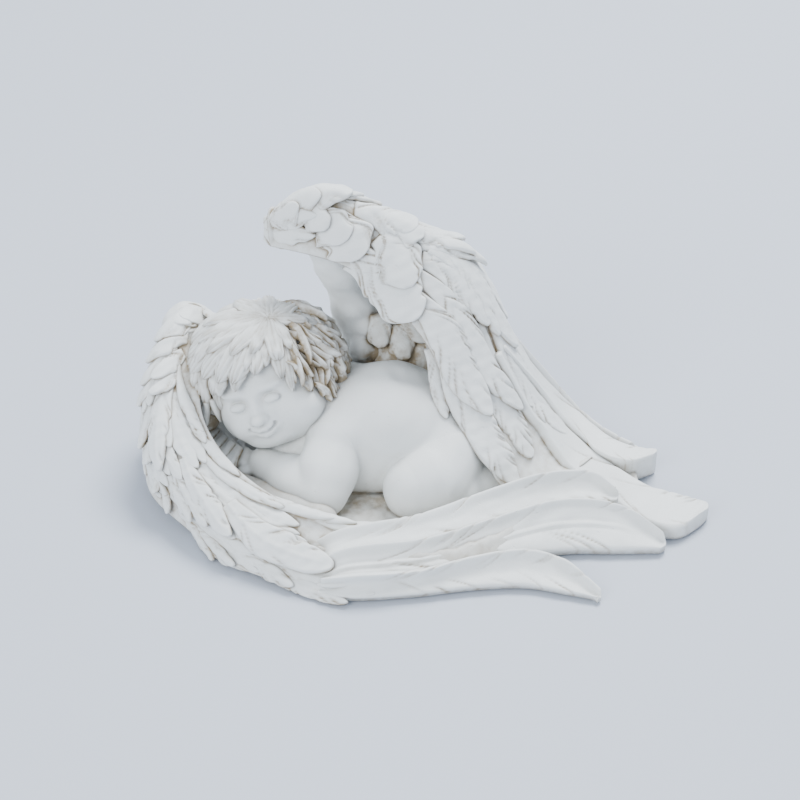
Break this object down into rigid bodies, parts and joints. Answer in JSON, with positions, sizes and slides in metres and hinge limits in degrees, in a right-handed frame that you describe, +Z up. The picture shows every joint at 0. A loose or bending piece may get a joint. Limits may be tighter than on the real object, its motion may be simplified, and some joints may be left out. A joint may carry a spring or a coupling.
{
  "type": "resin angel figurine",
  "caption": "Sleeping cherub curled face down in a nest of two large feathered wings, one raised over its back and one wrapped round its front.",
  "frame": {"origin": "on the resting plane under the felt, at the middle of the outline's bounding box", "axes": "+X runs from the head end to the feather tips, +Y from the front wing to the raised rear wing, +Z up"},
  "size_m": [0.1592, 0.0919, 0.084],
  "materials": {
    "felt": "matte",
    "resin_nest": "matte",
    "resin_skin": "matte",
    "resin_hair": "matte",
    "resin_feather": "matte"
  },
  "bodies": {
    "root": {"felt_pad": "felt", "nest_base": "resin_nest", "torso": "resin_skin", "head": "resin_skin", "hair": "resin_hair", "left_arm": "resin_skin", "right_arm": "resin_skin", "left_leg": "resin_skin", "right_leg": "resin_skin", "rear_wing_arm": "resin_feather", "rear_wing_web": "resin_feather", "rear_wing_lesser_coverts": "resin_feather", "rear_wing_greater_coverts": "resin_feather", "rear_wing_flight_feathers": "resin_feather", "front_wing_arm": "resin_feather", "front_wing_web": "resin_feather", "front_wing_lesser_coverts": "resin_feather", "front_wing_greater_coverts": "resin_feather", "front_wing_flight_feathers": "resin_feather"}
  },
  "joints": []
}
